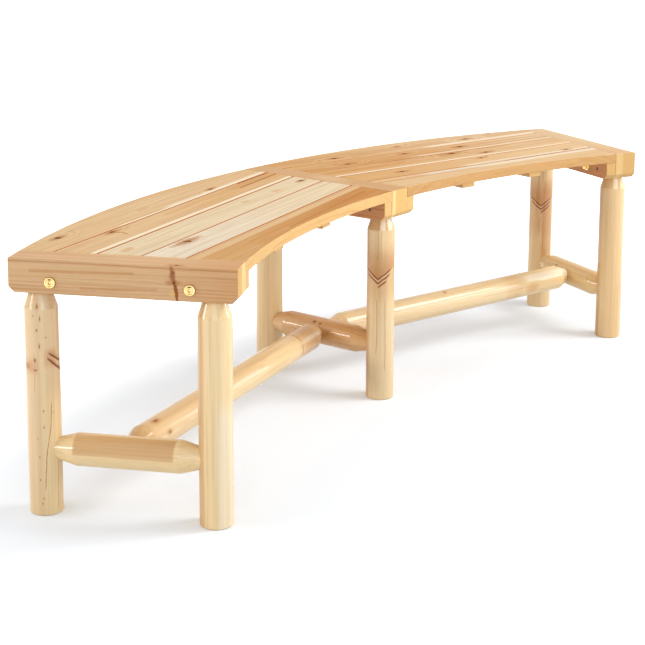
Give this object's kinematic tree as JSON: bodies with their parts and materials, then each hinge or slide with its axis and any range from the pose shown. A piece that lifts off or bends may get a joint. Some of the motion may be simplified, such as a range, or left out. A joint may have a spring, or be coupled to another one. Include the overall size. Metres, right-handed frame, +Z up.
{
  "type": "curved log bench",
  "caption": "Backless curved bench: slatted arc seat in square beams on round log legs, joined low down by round log stretchers.",
  "frame": {"origin": "on the floor, below the middle of the bench's bounding box", "axes": "+X along the bench's length, -Y towards its hollow inner side, +Z up from the floor"},
  "size_m": [1.7924, 0.5782, 0.457],
  "materials": {
    "beam_wood": "clear gloss varnish",
    "board_wood": "clear gloss varnish",
    "cleat_wood": "clear satin varnish",
    "log_wood": "clear gloss varnish",
    "brass": "plated, polished",
    "screw_steel": "dull, dark"
  },
  "bodies": {
    "root": {"left_beam": "beam_wood", "middle_beam": "beam_wood", "right_beam": "beam_wood", "left_beam_cleat": "cleat_wood", "middle_beam_left_cleat": "cleat_wood", "middle_beam_right_cleat": "cleat_wood", "right_beam_cleat": "cleat_wood", "left_board_1": "board_wood", "left_board_2": "board_wood", "left_board_3": "board_wood", "left_board_4": "board_wood", "left_board_5": "board_wood", "right_board_1": "board_wood", "right_board_2": "board_wood", "right_board_3": "board_wood", "right_board_4": "board_wood", "right_board_5": "board_wood", "left_panel_batten_1": "cleat_wood", "left_panel_batten_2": "cleat_wood", "right_panel_batten_1": "cleat_wood", "right_panel_batten_2": "cleat_wood", "left_inner_leg": "log_wood", "left_outer_leg": "log_wood", "middle_inner_leg": "log_wood", "middle_outer_leg": "log_wood", "right_inner_leg": "log_wood", "right_outer_leg": "log_wood", "left_cross_stretcher": "log_wood", "middle_cross_stretcher": "log_wood", "right_cross_stretcher": "log_wood", "left_long_stretcher": "log_wood", "right_long_stretcher": "log_wood", "end_beam_bolts": "brass", "middle_beam_bolts": "brass", "bolt_washers": "brass", "bolt_nuts": "brass", "leg_tenon_screws": "screw_steel", "board_end_screws": "screw_steel", "batten_screws": "screw_steel"}
  },
  "joints": []
}
